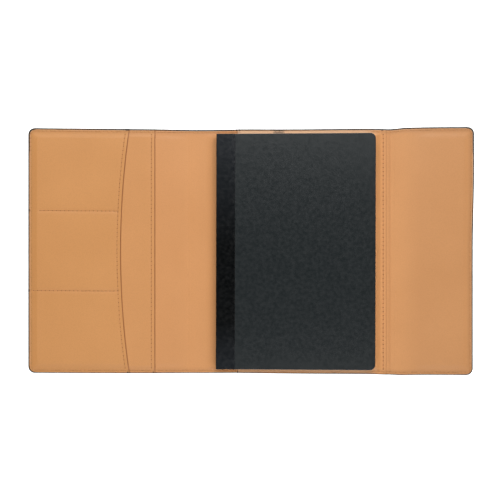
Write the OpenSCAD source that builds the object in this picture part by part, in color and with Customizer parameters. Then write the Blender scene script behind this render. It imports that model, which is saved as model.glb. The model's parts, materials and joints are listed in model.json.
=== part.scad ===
// Tri-fold leather notebook cover with card pockets, a slip-in notebook and a closing flap.
// It lies open on its outer face with the inside up. X runs from the free edge of the front
// panel to the free edge of the flap, Y runs up the page and Z points away from the table.
// The origin is the middle of the underside. Each panel ends a little short of its creases,
// so that it can fold through a right angle about the middle of the outer leather.

/* [Cover panels] */
// Width of the front panel, from its free edge to the front crease
front_w = 145.2; // [140:0.1:146]
// Width of the spine panel between its two creases
spine_w = 20.3; // [20:0.1:20.4]
// Width of the back panel, from the spine to the gusset
back_w = 160.8; // [160:0.1:164]
// Width of the gusset that wraps the fore-edge
gusset_w = 23.0; // [22.9:0.1:25]
// Width of the closing flap
flap_w = 52.0; // [48:0.5:60]
// Height of the cover at the free edge of the front panel
height_front = 220.4; // [220:0.1:222]
// Height of the cover along the spine
height_spine = 219.2; // [219:0.1:221]
// Height of the cover at the gusset
height_fore = 221.4; // [221:0.1:223]
// Height of the cover at the free edge of the flap
height_flap = 223.4; // [223:0.1:225]
// Radius of the four outer corners
corner_r = 6.0; // [5:0.5:8]

/* [Leather and boards] */
// Thickness of the outer leather
leather_t = 1.0; // [0.9:0.1:1]
// Thickness of the lining
lining_t = 0.7; // [0.6:0.1:0.7]
// Thickness of the card inside the front panel
front_board_t = 0.4; // [0.3:0.1:0.4]
// Thickness of the writing board inside the back panel
back_board_t = 2.2; // [2.2:0.1:2.3]
// Thickness of the card inside the flap
flap_board_t = 0.6; // [0.4:0.1:0.6]
// How far the boards stay inside the edges of their panel
board_in = 6.3; // [6:0.1:8]
// Radius of the boards' corners
board_r = 4.5; // [4:0.5:5]

/* [Pockets] */
// Thickness of the pocket leather
sleeve_t = 0.6; // [0.5:0.1:0.6]
// Distance from the free edge of the front panel to the middle of the card pockets' mouth
card_pocket_w = 83.4; // [80:0.1:90]
// How much further the card pockets reach at the top and bottom than in the middle
card_pocket_sweep = 8.1; // [4:0.1:12]
// Distance of the two card dividers from the middle of the cover
divider_y = 36.0; // [32:0.5:38]
// Distance from the free edge of the front panel to the mouth of the long pocket
front_sleeve_w = 114.5; // [110:0.5:120]
// Distance from the back crease to the mouth of the notebook pocket
back_mouth = 23.4; // [20:0.1:40]
// Distance from the gusset crease to the seam that closes the notebook pocket
back_seam_in = 6.1; // [6:0.1:6.5]

/* [Stitching] */
// Distance from one stitch to the next
stitch_pitch = 3.7; // [3:0.1:5]
// Length of one stitch
stitch_l = 2.8; // [2:0.1:2.9]
// Width of the thread
stitch_w = 0.5; // [0.3:0.1:0.5]
// Height of a stitch over the leather
stitch_t = 0.25; // [0.15:0.05:0.3]
// Distance of the edge stitching from the edge
stitch_in = 2.6; // [2.5:0.1:2.6]
// Distance of a hem's stitching from the free edge of its pocket
hem_in = 3.2; // [2.5:0.1:4]

/* [Notebook] */
// Width of the notebook
notebook_w = 141.6; // [138:0.1:142]
// Height of the notebook
notebook_h = 210.0; // [205:0.5:210]
// Thickness of the notebook, over both covers
notebook_t = 11.9; // [10:0.1:12]
// Distance from the back crease to the notebook
notebook_in = 4.1; // [3.5:0.1:4.5]
// Thickness of a notebook cover
notebook_cover_t = 0.45; // [0.3:0.05:0.45]
// Radius of the notebook's two outer corners
notebook_r = 5.0; // [3:0.5:8]
// Width of the cloth tape on each side of the notebook's spine
tape_w = 16.9; // [10:0.1:25]
// Thickness of the pages that turn over with the front cover
turned_t = 2.4; // [1:0.1:4]

/* [Closure] */
// Width of the magnet strip in the flap and of its plate in the front panel
magnet_w = 8.0; // [6:0.5:12]
// Length of the magnet strip and of its plate
magnet_l = 60.0; // [30:1:100]
// Distance from the flap's free edge to the middle of the magnet strip
magnet_in = 14.0; // [12:0.5:20]

/* [Hidden] */

black_leather = "#1d1c1b";
tan_leather = "#d49763";
tan_thread = "#b57a45";
greyboard = "#8d8579";
steel = "#9a9c9f";
ferrite = "#3b3a3c";
notebook_black = "#333534";
tape_black = "#1f2122";
paper_cream = "#efe8d6";

// Places along X
x_left = -(front_w + spine_w + back_w + gusset_w + flap_w) / 2;
x_front_crease = x_left + front_w;
x_back_crease = x_front_crease + spine_w;
x_gusset_crease = x_back_crease + back_w;
x_flap_crease = x_gusset_crease + gusset_w;
x_right = x_flap_crease + flap_w;
x_card_mouth = x_left + card_pocket_w;
x_front_mouth = x_left + front_sleeve_w;
x_back_mouth = x_back_crease + back_mouth;
x_back_seam = x_gusset_crease - back_seam_in;
x_notebook = x_back_crease + notebook_in;
x_notebook_end = x_notebook + notebook_w;

// A panel's layers stop this far from a crease; those of the spine and gusset go nearer,
// because the panels leave the room for them.
panel_gap = 1.3;
fold_gap = 0.2;
// Free room under the pocket leather, so that the layers slide on each other
slip = 0.2;
// Width of the flat rim by which each pocket layer is stitched down; every layer's rim is
// narrower than that of the layer below it.
pad_rim = board_in - lining_t;
front_sleeve_rim = 4.4;
card_rim = 3.2;
back_sleeve_rim = 3.4;
// The notebook pocket's leather runs this far past its seam
seam_tab = 2.8;
// The back board ends this far before the notebook pocket's seam
back_board_end = 4.9;
// Width of the line along which a divider pinches the card pocket down
divider_w = 0.8;
// Room for cutting through a face
past = 5;

// Heights along Z
z_lining = leather_t;
z_rim = leather_t + lining_t;
z_sleeve_rim = z_rim + sleeve_t;
z_card_rim = z_sleeve_rim + sleeve_t;
z_front_pad = z_rim + front_board_t;
z_front_sleeve = z_front_pad + slip + sleeve_t;
z_card = z_front_sleeve + slip + sleeve_t;
z_back_pad = z_rim + back_board_t;

// The notebook's own layers: cloth, cover and endpaper at the back, the sleeve's leather with
// room on both sides, the pages, then endpaper, cover and cloth at the front.
cloth_t = 0.15;
endpaper_t = 0.1;
spine_cloth_t = 0.3;
hinge_gap = 0.05;
page_in = 0.5;
z_notebook = z_back_pad + slip;
z_back_board = z_notebook + cloth_t;
z_back_paper = z_back_board + notebook_cover_t;
z_under_sleeve = z_back_paper + endpaper_t + slip;
z_back_sleeve = z_under_sleeve + sleeve_t;
z_pages = z_back_sleeve + slip;
z_notebook_top = z_notebook + notebook_t;
z_front_cover_top = z_notebook_top - cloth_t;
z_front_cover = z_front_cover_top - notebook_cover_t;
z_front_paper = z_front_cover - endpaper_t;
z_cover_hinge = z_front_paper - hinge_gap;
z_turned = z_cover_hinge - turned_t;

// The card pockets' mouth is an arc through its middle and its two ends
mouth_half = height_front / 2;
mouth_r = (mouth_half * mouth_half + card_pocket_sweep * card_pocket_sweep)
    / (2 * card_pocket_sweep);
mouth_steps = 180;

// Half of the cover's height at x
function half_h(x) = lookup(x, [
    [x_left, height_front / 2],
    [x_front_crease, height_spine / 2],
    [x_back_crease, height_spine / 2],
    [x_gusset_crease, height_fore / 2],
    [x_right, height_flap / 2]
]);

// Where the card pockets' mouth is at y, moved along X by dx
function mouth_x(y, dx) = x_card_mouth + mouth_r - sqrt(pow(mouth_r - dx, 2) - y * y);

// Points of a quarter-circle corner of radius r about (cx, cy), from angle a to a + 90
corner_steps = 8;
function corner(cx, cy, r, a) = r == 0 ? [[cx, cy]] : [
    for (i = [0 : corner_steps])
        let (t = a + 90 * i / corner_steps)
        [cx + r * cos(t), cy + r * sin(t)]
];

// Outline from x0 to x1, held dy inside the cover's top and bottom edges, with corners of
// radius r0 at x0 and r1 at x1
function outline(x0, x1, dy, r0, r1) =
    let (h0 = half_h(x0) - dy, h1 = half_h(x1) - dy)
    concat(
        corner(x1 - r1, h1 - r1, r1, 0),
        corner(x0 + r0, h0 - r0, r0, 90),
        corner(x0 + r0, r0 - h0, r0, 180),
        corner(x1 - r1, r1 - h1, r1, 270)
    );

// A flat layer of that outline from z0 up to z1
module layer(x0, x1, z0, z1, dy = 0, r0 = 0, r1 = 0) {
    translate([0, 0, z0])
        linear_extrude(z1 - z0)
            polygon(outline(x0, x1, dy, r0, r1));
}

// A lining whose rim lies on the outer leather and whose middle covers a board. The board
// runs from b0 to b1 along X.
module lining_over_board(x0, x1, b0, b1, board_t, r0 = 0, r1 = 0) {
    difference() {
        union() {
            layer(x0, x1, z_lining, z_rim, 0, r0, r1);
            layer(b0 - lining_t, b1 + lining_t, z_lining, z_rim + board_t, pad_rim, board_r, board_r);
        }
        layer(b0, b1, z_lining - past, z_lining + board_t, board_in, board_r, board_r);
    }
}

module board(b0, b1, board_t) {
    layer(b0, b1, z_lining, z_lining + board_t, board_in, board_r, board_r);
}

// The room inside a pocket whose rim is rim wide, with corners of radius r0 at x0. It is open
// at the end that is run past its mouth.
module pocket_room(x0, x1, z0, z1, rim, r0 = 0) {
    layer(x0, x1, z0, z1, rim + sleeve_t, r0, 0);
}

// One stitch lying on the surface at (x, y, z), turned by angle
module stitch(x, y, z, angle) {
    translate([x, y, z + stitch_t / 2])
        rotate([0, 0, angle])
            cube([stitch_l, stitch_w, stitch_t], center = true);
}

// A straight row of stitches from (x0, y0) to (x1, y1)
module stitch_row(x0, y0, x1, y1, z) {
    long = norm([x1 - x0, y1 - y0]);
    count = floor(long / stitch_pitch);
    for (i = [0 : count - 1]) {
        t = (i + 0.5) / count;
        stitch(x0 + (x1 - x0) * t, y0 + (y1 - y0) * t, z, atan2(y1 - y0, x1 - x0));
    }
}

// Rows along the top and bottom edges, from x0 to x1
module edge_rows(x0, x1, z) {
    for (side = [-1, 1])
        stitch_row(
            x0, side * (half_h(x0) - stitch_in),
            x1, side * (half_h(x1) - stitch_in), z
        );
}

// The stitches round an outer end of the cover: one in each corner and a row down the edge.
// way is -1 at the front panel's end and 1 at the flap's.
module end_rows(x_end, way, z) {
    h = half_h(x_end);
    turn = (corner_r - stitch_in) * cos(45);
    for (side = [-1, 1])
        stitch(
            x_end - way * (corner_r - turn), side * (h - corner_r + turn), z, -45 * side * way
        );
    stitch_row(x_end - way * stitch_in, corner_r - h, x_end - way * stitch_in, h - corner_r, z);
}

// Outer leather, one node for each panel

module outer_front() {
    color(black_leather) layer(x_left, x_front_crease - panel_gap, 0, leather_t, 0, corner_r, 0);
}

module outer_spine() {
    color(black_leather) layer(x_front_crease + fold_gap, x_back_crease - fold_gap, 0, leather_t);
}

module outer_back() {
    color(black_leather) layer(x_back_crease + panel_gap, x_gusset_crease - panel_gap, 0, leather_t);
}

module outer_gusset() {
    color(black_leather) layer(x_gusset_crease + fold_gap, x_flap_crease - fold_gap, 0, leather_t);
}

module outer_flap() {
    color(black_leather) layer(x_flap_crease + panel_gap, x_right, 0, leather_t, 0, 0, corner_r);
}

// Lining, one node for each panel

front_board_x0 = x_left + board_in;
front_board_x1 = x_front_crease - panel_gap - board_in;
back_board_x0 = x_back_crease + panel_gap + board_in;
back_board_x1 = x_back_seam - back_board_end;
flap_board_x0 = x_flap_crease + panel_gap + board_in;
flap_board_x1 = x_right - board_in;

module lining_front() {
    color(tan_leather)
        lining_over_board(
            x_left, x_front_crease - panel_gap, front_board_x0, front_board_x1,
            front_board_t, corner_r, 0
        );
}

module lining_spine() {
    color(tan_leather) layer(x_front_crease + fold_gap, x_back_crease - fold_gap, z_lining, z_rim);
}

module lining_back() {
    color(tan_leather)
        lining_over_board(
            x_back_crease + panel_gap, x_gusset_crease - panel_gap, back_board_x0,
            back_board_x1, back_board_t
        );
}

module lining_gusset() {
    color(tan_leather) layer(x_gusset_crease + fold_gap, x_flap_crease - fold_gap, z_lining, z_rim);
}

module lining_flap() {
    color(tan_leather)
        lining_over_board(
            x_flap_crease + panel_gap, x_right, flap_board_x0, flap_board_x1,
            flap_board_t, 0, corner_r
        );
}

// Boards and the closure between the outer leather and the lining. The flap folds over the
// front panel, so the plate lies where the magnet comes to rest.

x_magnet = x_right - magnet_in;
x_plate = x_front_crease - (x_gusset_crease - (x_magnet - x_flap_crease) - x_back_crease);

module strip(x, board_t) {
    translate([x - magnet_w / 2, -magnet_l / 2, z_lining])
        cube([magnet_w, magnet_l, board_t]);
}

module front_board() {
    color(greyboard)
        difference() {
            board(front_board_x0, front_board_x1, front_board_t);
            translate([0, 0, -past]) strip(x_plate, front_board_t + 2 * past);
        }
}

module back_board() {
    color(greyboard) board(back_board_x0, back_board_x1, back_board_t);
}

module flap_board() {
    color(greyboard)
        difference() {
            board(flap_board_x0, flap_board_x1, flap_board_t);
            translate([0, 0, -past]) strip(x_magnet, flap_board_t + 2 * past);
        }
}

module front_plate() {
    color(steel) strip(x_plate, front_board_t);
}

module flap_magnet() {
    color(ferrite) strip(x_magnet, flap_board_t);
}

// Pockets

module front_sleeve() {
    color(tan_leather)
        difference() {
            union() {
                layer(x_left, x_front_mouth, z_rim, z_sleeve_rim, 0, corner_r, 0);
                layer(
                    x_left + front_sleeve_rim, x_front_mouth, z_rim, z_front_sleeve,
                    front_sleeve_rim, corner_r, 0
                );
            }
            pocket_room(
                x_left + front_sleeve_rim + sleeve_t, x_front_mouth + past, z_rim - past,
                z_front_sleeve - sleeve_t, front_sleeve_rim, corner_r - sleeve_t
            );
        }
}

// The card pocket layer, cut back to its curved mouth and pinched down at the two dividers
module card_pocket() {
    x_end = x_card_mouth + card_pocket_sweep + past;
    color(tan_leather)
        difference() {
            union() {
                layer(x_left, x_end, z_sleeve_rim, z_card_rim, 0, corner_r, 0);
                layer(x_left + card_rim, x_end, z_sleeve_rim, z_card, card_rim, corner_r, 0);
            }
            difference() {
                pocket_room(
                    x_left + card_rim + sleeve_t, x_end + past, z_sleeve_rim - past,
                    z_card - sleeve_t, card_rim, corner_r - sleeve_t
                );
                for (side = [-1, 1])
                    translate([x_left, side * divider_y - divider_w / 2, z_front_sleeve])
                        cube([x_end - x_left + 2 * past, divider_w, past]);
            }
            translate([x_card_mouth + mouth_r, 0, 0])
                cylinder(h = 2 * past, r = mouth_r, $fn = mouth_steps);
        }
}

// The notebook pocket: closed at the gusset end, open towards the spine
module back_sleeve() {
    x_end = x_back_seam + seam_tab;
    x_wall = x_back_seam - seam_tab;
    color(tan_leather)
        difference() {
            union() {
                layer(x_back_mouth, x_end, z_rim, z_sleeve_rim);
                layer(x_back_mouth, x_wall, z_rim, z_back_sleeve, back_sleeve_rim);
            }
            pocket_room(
                x_back_mouth - past, x_wall - sleeve_t, z_rim - past, z_under_sleeve,
                back_sleeve_rim
            );
        }
}

// Stitching along the edges. It lies on whichever layer is on top there, and stays clear of
// the creases on both sides.

module edge_stitches_front() {
    x_arc = mouth_x(mouth_half, 0);
    color(tan_thread) {
        end_rows(x_left, -1, z_card_rim);
        edge_rows(x_left + corner_r, x_arc - stitch_w, z_card_rim);
        edge_rows(x_arc + stitch_w, x_front_mouth, z_sleeve_rim);
        edge_rows(x_front_mouth, x_front_crease - panel_gap, z_rim);
    }
}

module edge_stitches_spine() {
    color(tan_thread) edge_rows(x_front_crease + panel_gap, x_back_crease - panel_gap, z_rim);
}

module edge_stitches_back() {
    color(tan_thread) {
        edge_rows(x_back_crease + panel_gap, x_back_mouth, z_rim);
        edge_rows(x_back_mouth, x_back_seam, z_sleeve_rim);
    }
}

module edge_stitches_gusset() {
    color(tan_thread) edge_rows(x_gusset_crease + panel_gap, x_flap_crease - panel_gap, z_rim);
}

module edge_stitches_flap() {
    color(tan_thread) {
        edge_rows(x_flap_crease + panel_gap, x_right - corner_r, z_rim);
        end_rows(x_right, 1, z_rim);
    }
}

// Stitching of the pockets

// Along the card pockets' mouth, a hem's width inside it
module card_hem_stitches() {
    r = mouth_r + hem_in;
    step = stitch_pitch / r * 180 / PI;
    reach = asin((mouth_half - 2 * stitch_in) / r);
    count = floor(reach / step);
    color(tan_thread)
        for (i = [-count : count])
            stitch(
                x_card_mouth + mouth_r - r * cos(i * step), r * sin(i * step), z_card,
                90 - i * step
            );
}

module card_divider_stitches() {
    color(tan_thread)
        for (side = [-1, 1])
            stitch_row(
                x_left + card_rim + stitch_w, side * divider_y,
                mouth_x(divider_y, 0) - hem_in - stitch_w, side * divider_y, z_card
            );
}

// A straight row across the cover at x
module cross_row(x, rim, z) {
    stitch_row(x, rim - half_h(x), x, half_h(x) - rim, z);
}

module front_sleeve_stitches() {
    color(tan_thread) cross_row(x_front_mouth - hem_in, front_sleeve_rim, z_front_sleeve);
}

// This hem lies under the notebook, so its thread is pulled down flatter
module back_mouth_stitches() {
    flat = (slip - hinge_gap) / stitch_t;
    color(tan_thread)
        translate([0, 0, z_back_sleeve])
            scale([1, 1, flat])
                cross_row(x_back_mouth + hem_in, back_sleeve_rim, 0);
}

module back_seam_stitches() {
    color(tan_thread) cross_row(x_back_seam, 2 * stitch_in, z_sleeve_rim);
}

// Notebook

// A sheet of the notebook from x0 to its outer edge less back_off, with rounded outer corners
module leaf(x0, back_off, z0, z1) {
    x1 = x_notebook_end - back_off;
    h = notebook_h / 2 - back_off;
    translate([0, 0, z0])
        linear_extrude(z1 - z0)
            polygon(concat(
                corner(x1 - notebook_r, h - notebook_r, notebook_r, 0),
                [[x0, h], [x0, -h]],
                corner(x1 - notebook_r, notebook_r - h, notebook_r, 270)
            ));
}

// The cloth that covers one side of the notebook's spine
module tape(z0) {
    translate([x_notebook, -notebook_h / 2, z0])
        cube([tape_w, notebook_h, cloth_t]);
}

module notebook_back_cover() {
    color(notebook_black) leaf(x_notebook + spine_cloth_t, 0, z_back_board, z_back_paper);
}

module notebook_back_endpaper() {
    color(paper_cream)
        leaf(x_notebook + spine_cloth_t, page_in, z_back_paper, z_back_paper + endpaper_t);
}

module spine_cloth_back() {
    color(tape_black) tape(z_notebook);
}

module spine_cloth() {
    color(tape_black)
        translate([x_notebook, -notebook_h / 2, z_back_board])
            cube([spine_cloth_t, notebook_h, z_cover_hinge - z_back_board]);
}

module page_block() {
    color(paper_cream) leaf(x_notebook + spine_cloth_t, page_in, z_pages, z_turned - hinge_gap);
}

module turned_pages() {
    color(paper_cream) leaf(x_notebook + spine_cloth_t, page_in, z_turned, z_cover_hinge);
}

module notebook_front_endpaper() {
    color(paper_cream) leaf(x_notebook + spine_cloth_t, page_in, z_front_paper, z_front_cover);
}

module notebook_front_cover() {
    color(notebook_black) leaf(x_notebook + spine_cloth_t, 0, z_front_cover, z_front_cover_top);
}

module spine_cloth_front() {
    color(tape_black) tape(z_front_cover_top);
}

outer_front();
outer_spine();
outer_back();
outer_gusset();
outer_flap();
lining_front();
lining_spine();
lining_back();
lining_gusset();
lining_flap();
front_board();
back_board();
flap_board();
front_plate();
flap_magnet();
front_sleeve();
card_pocket();
back_sleeve();
edge_stitches_front();
edge_stitches_spine();
edge_stitches_back();
edge_stitches_gusset();
edge_stitches_flap();
card_hem_stitches();
card_divider_stitches();
front_sleeve_stitches();
back_mouth_stitches();
back_seam_stitches();
notebook_back_cover();
notebook_back_endpaper();
spine_cloth_back();
spine_cloth();
page_block();
turned_pages();
notebook_front_cover();
notebook_front_endpaper();
spine_cloth_front();
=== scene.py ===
"""Tri-fold leather notebook cover, open and flat, with its slip-in notebook.

The layout is worked out in millimetres from the CAD frame's boxes and joints, and scaled to
metres when a mesh is made.
"""

import json
import math

import bpy
import numpy as np
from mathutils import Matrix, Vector
from mathutils.geometry import delaunay_2d_cdt
from mathutils.kdtree import KDTree


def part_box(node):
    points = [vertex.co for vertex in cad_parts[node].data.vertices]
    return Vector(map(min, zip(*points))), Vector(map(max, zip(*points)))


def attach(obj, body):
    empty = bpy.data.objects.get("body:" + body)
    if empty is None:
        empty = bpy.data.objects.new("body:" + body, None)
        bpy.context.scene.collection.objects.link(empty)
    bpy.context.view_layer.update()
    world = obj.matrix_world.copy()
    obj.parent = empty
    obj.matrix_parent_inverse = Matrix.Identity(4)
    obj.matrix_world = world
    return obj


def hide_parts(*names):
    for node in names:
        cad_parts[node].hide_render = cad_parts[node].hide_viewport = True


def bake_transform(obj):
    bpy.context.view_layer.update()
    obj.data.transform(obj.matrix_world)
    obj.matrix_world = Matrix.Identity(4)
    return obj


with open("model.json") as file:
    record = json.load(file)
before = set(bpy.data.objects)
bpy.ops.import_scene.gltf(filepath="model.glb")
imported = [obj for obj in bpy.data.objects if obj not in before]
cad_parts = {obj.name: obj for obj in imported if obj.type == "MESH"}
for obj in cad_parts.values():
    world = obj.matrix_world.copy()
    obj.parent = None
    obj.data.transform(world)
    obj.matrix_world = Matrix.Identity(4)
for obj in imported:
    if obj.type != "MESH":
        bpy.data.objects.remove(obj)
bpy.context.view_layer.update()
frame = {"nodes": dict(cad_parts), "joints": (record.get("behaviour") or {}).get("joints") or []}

MM = 1000.0
rng = np.random.default_rng(7)

# ---------------------------------------------------------------- places from the frame


def box(node):
    lo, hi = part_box(node)
    return np.array(lo) * MM, np.array(hi) * MM


hinge = {j["name"]: np.array(j["pos_m"]) * MM for j in frame["joints"] if "pos_m" in j}
X_FRONT = hinge["front_fold"][0]
X_SPINE = hinge["spine_fold"][0]
X_GUSSET = hinge["gusset_fold"][0]
X_FLAP = hinge["flap_fold"][0]
CREASES = (X_FRONT, X_SPINE, X_GUSSET, X_FLAP)
X_LEFT = box("outer_front")[0][0]
X_RIGHT = box("outer_flap")[1][0]
CUT_SPINE = (X_FRONT + X_SPINE) / 2
CUT_BACK = (X_SPINE + X_GUSSET) / 2
CUT_GUSSET = (X_GUSSET + X_FLAP) / 2

H_LEFT = box("outer_front")[1][1]
H_SPINE = box("outer_spine")[1][1]
H_RIGHT = box("outer_flap")[1][1]
X_BACK_END, H_BACK_END = box("outer_back")[1][:2]
H_GUSSET = H_SPINE + (H_BACK_END - H_SPINE) * (X_GUSSET - X_SPINE) / (X_BACK_END - X_SPINE)
CORNER_R = 6.0

Z_OUTER = box("outer_front")[1][2]
Z_RIM = box("lining_spine")[1][2]
LINING_T = Z_RIM - Z_OUTER
Z_FRONT_PAD = box("lining_front")[1][2]
Z_BACK_PAD = box("lining_back")[1][2]
Z_FLAP_PAD = box("lining_flap")[1][2]
Z_SLEEVE = box("front_sleeve")[1][2]
Z_CARD = box("card_pocket")[1][2]
Z_BACK_SLEEVE = box("back_sleeve")[1][2]
SLEEVE_T = 0.6
Z_SLEEVE_RIM = Z_RIM + SLEEVE_T
Z_CARD_RIM = Z_SLEEVE_RIM + SLEEVE_T

X_SLEEVE_MOUTH = box("front_sleeve")[1][0]
X_CARD_MOUTH_END = box("card_pocket")[1][0]
CARD_SWEEP = 8.0
X_BACK_MOUTH = box("back_sleeve")[0][0]
X_TAB = box("back_sleeve")[1][0]
X_SEAM = sum(corner[0] for corner in box("back_seam_stitches")) / 2
X_SLOPE = round(X_SEAM - 8.55, 3)  # where the back sleeve begins to slope down to its seam
DIVIDER_Y = box("card_divider_stitches")[1][1] - 0.25
X_BACK_BOARD = [corner[0] for corner in box("back_board")]
X_FLAP_BOARD = box("flap_board")[0][0]
X_FRONT_BOARD = box("front_board")[1][0]

# Places along the edge where its paint has run over the rim: x, side and half the length.
SMEARS = ((X_SPINE + 61.15, 1, 4.6), (X_SPINE + 110.15, -1, 1.6))

PITCH = 3.7  # of the stitches
STITCH_IN = 2.6  # from the outline to the edge row
HEM_IN = 3.2  # from a pocket's mouth to its hem row
HEM_DEEPER = 0.07  # the notebook slides over the card pockets' hem
THREAD_R = 0.23
STEP = PITCH / 4  # between an outline's points
LIP = 0.56  # from the outline to the lining's own edge
BEAD = 0.47  # width of the edge paint's bead
NUDGE = (0.05, -0.07)  # where the lining and pockets lie on the outer leather
NB_NUDGE = (0.5, -0.15)  # where the notebook lies in the cover
NB_SKEW = 0.0026
NB_TAPER = 0.00006
NB_EVEN_X = X_SPINE + 85.15  # where its taper is nil

# ---------------------------------------------------------------- small tools


def smooth(t):
    t = np.clip(t, 0, 1)
    return t * t * (3 - 2 * t)


def ramp(d, a, b):
    return smooth((d - a) / (b - a))


def bump(x, at, width):
    return np.exp(-(((x - at) / width) ** 2))


def add_bumps(x, marks):
    """The sum of bumps, each a place, a height and a width."""
    return sum(height * bump(x, at, width) for at, height, width in marks)


HALF_HEIGHTS = (
    (X_LEFT + CORNER_R, H_LEFT + 0.05),
    (X_FRONT - 28, H_SPINE + 0.35),
    (X_FRONT, H_SPINE),
    (X_SPINE, H_SPINE),
    (X_GUSSET, H_GUSSET),
    (X_GUSSET + 13, H_RIGHT - 0.15),
    (X_RIGHT - CORNER_R, H_RIGHT + 0.2),
)


def half_h(x):
    """Half the cover's height at x: the flap widens quickly beyond its crease."""
    return np.interp(x, *zip(*HALF_HEIGHTS))


# How the real cover's middle line bows up or down along its length.
BOWS = (
    (X_FRONT + 8, -0.15, 22),
    (X_SPINE + 30.15, 0.2, 20),
    (X_SPINE + 85.15, -0.12, 40),
    (X_GUSSET, -0.5, 13),
)


def settle(points, nudge):
    """Lays points on the cover as it really lies: its panels are a little out of line and out of square."""
    x, y = points[:, 0].copy(), points[:, 1]
    left = np.clip((X_SPINE - x) / (X_SPINE - X_LEFT), 0, 1)
    on_flap = smooth((x - X_FLAP) / 40)
    up = 0.85 * left**1.7 + 0.3 * smooth((x - X_GUSSET - 4) / 40) + add_bumps(x, BOWS)
    along = (1.2 * smooth(y / 75) - 0.12) * on_flap + 0.48 * smooth((X_FRONT - x) / 100) ** 2
    points[:, 0] += along + nudge[0]
    points[:, 1] += up + nudge[1]


def settle_notebook(points):
    """Lays the notebook as seen: its free side springs up a little, which makes it look taller there."""
    x, y = points[:, 0].copy(), points[:, 1].copy()
    points[:, 0] += NB_NUDGE[0] + NB_SKEW * y
    points[:, 1] += NB_NUDGE[1] + NB_TAPER * (x - NB_EVEN_X) * y


def waves(x, y, size, seed):
    """Smooth, gentle waviness between about -1 and 1, the same on every run."""
    r = np.random.default_rng(seed)
    total = 0
    for _ in range(7):
        a = r.uniform(0, 2 * math.pi)
        k = r.uniform(0.6, 1.5) * 2 * math.pi / size
        total = total + np.sin(k * (x * math.cos(a) + y * math.sin(a)) + r.uniform(0, 2 * math.pi))
    return total / 4


def edge_dist(x, y):
    """How far inside the cover's outline a point is."""
    top = half_h(x) - np.abs(y)
    end = np.minimum(x - X_LEFT, X_RIGHT - x)
    d = np.minimum(top, end)
    corner = (top < CORNER_R) & (end < CORNER_R)
    return np.where(corner, CORNER_R - np.hypot(CORNER_R - top, CORNER_R - end), d)


def round_off(d, r):
    """How far a rounded edge has dropped at distance d from it."""
    t = np.clip(r - d, 0, r)
    return r - np.sqrt(np.maximum(r * r - t * t, 0))


def card_mouth(y):
    """X of the card pockets' curved mouth at y, an arc."""
    half = half_h(X_LEFT)
    r = (half**2 + CARD_SWEEP**2) / (2 * CARD_SWEEP)
    y = np.clip(y, -H_LEFT, H_LEFT)
    return X_CARD_MOUTH_END + math.sqrt(r * r - half * half) - np.sqrt(r * r - y * y)


# ---------------------------------------------------------------- heights of the layers


def thin_board(x, y, board_end, away, run):
    """From 0 on the rim and the crease to 1 over a thin board; away is the way from it to its crease."""
    beyond = (x - board_end) * away
    return ramp(edge_dist(x, y), 4.6, 9.5) * (1 - ramp(beyond, -0.4 * run, 0.6 * run))


# The lines that folding has pressed into the lining: place, depth and width.
CREASE_LINES = (
    (X_FRONT - 0.6, 0.10, 0.7),
    (X_FRONT + 1.6, 0.05, 0.9),
    (X_SPINE + 0.6, 0.03, 1.1),
    (X_GUSSET - 0.1, 0.30, 0.75),
    (X_GUSSET + 4.6, 0.10, 0.6),
    (X_FLAP, 0.03, 1.6),
)


def z_lining(x, y):
    d = edge_dist(x, y)
    left = ramp(x, X_SPINE - 6, X_BACK_BOARD[0] + 4.4)
    right = 1 - ramp(x, X_BACK_BOARD[1] + 0.3, X_BACK_BOARD[1] + 2.4)
    z = Z_RIM + (Z_BACK_PAD - Z_RIM) * left * right * ramp(d, 3.6, 6.2)
    z = z + (Z_FRONT_PAD - Z_RIM) * thin_board(x, y, X_FRONT_BOARD, 1, 12)
    z = z + (Z_FLAP_PAD - Z_RIM) * thin_board(x, y, X_FLAP_BOARD, -1, 22)
    return z - add_bumps(x, CREASE_LINES) + 0.05 * waves(x, y, 60, 3) * ramp(d, 3, 14)


def z_front_sleeve(x, y):
    d = edge_dist(x, y)
    mouth = ramp(x, X_SLEEVE_MOUTH - 14, X_SLEEVE_MOUTH)
    middle = ramp(d, 4, 40)
    z = Z_SLEEVE_RIM + (Z_SLEEVE - Z_SLEEVE_RIM) * ramp(d, 3.8, 7.0)
    return z + 0.35 * mouth * middle + 0.06 * waves(x, y, 48, 5) * ramp(d, 3, 16)


def z_card(x, y):
    d = edge_dist(x, y)
    z = Z_CARD_RIM + (Z_CARD - Z_CARD_RIM) * ramp(d, 4.4, 8.4)
    inside = ramp(d, 6, 22)
    held = np.minimum(np.abs(y - DIVIDER_Y), np.abs(y + DIVIDER_Y))
    z = z - 0.22 * bump(held, 0, 1.5) * ramp(d, 3.6, 8)
    mouth = ramp(x, card_mouth(y) - 12, card_mouth(y))
    z = z + 0.28 * mouth * inside * ramp(held, 1, 16)
    return z + 0.08 * ramp(held, 1, 14) * inside + 0.05 * waves(x, y, 40, 9) * inside


def z_back(x, y):
    d = half_h(x) - np.abs(y)
    up = ramp(d, 2.6, 6.2)
    right = 1 - ramp(x, X_SLOPE, X_SEAM - 1.0)
    return Z_SLEEVE_RIM + (Z_BACK_SLEEVE - Z_SLEEVE_RIM) * up * right


def mouth_stain(beyond):
    """Darkening along a pocket's mouth, from how far beyond its edge a point is: beyond the edge it is
    painted shadow under the mouth, on the edge itself the brown of the stained edge.
    """
    return np.where(beyond > 0, 0.9 * (1 - ramp(beyond, 0.1, 0.8)), 1 - ramp(-beyond, 0.3, 0.58))


# Painted shadow on the lining beyond the sleeve's mouth and the tab's edge, and painted shade in the
# creases.
def stain_lining(x, y):
    at_mouth = mouth_stain(np.maximum(x - X_SLEEVE_MOUTH, 0.01))
    at_tab = 0.25 * mouth_stain(np.maximum(x - X_TAB, 0.01))
    return np.maximum(np.maximum(at_mouth, at_tab), crease_stain(x))


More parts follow.
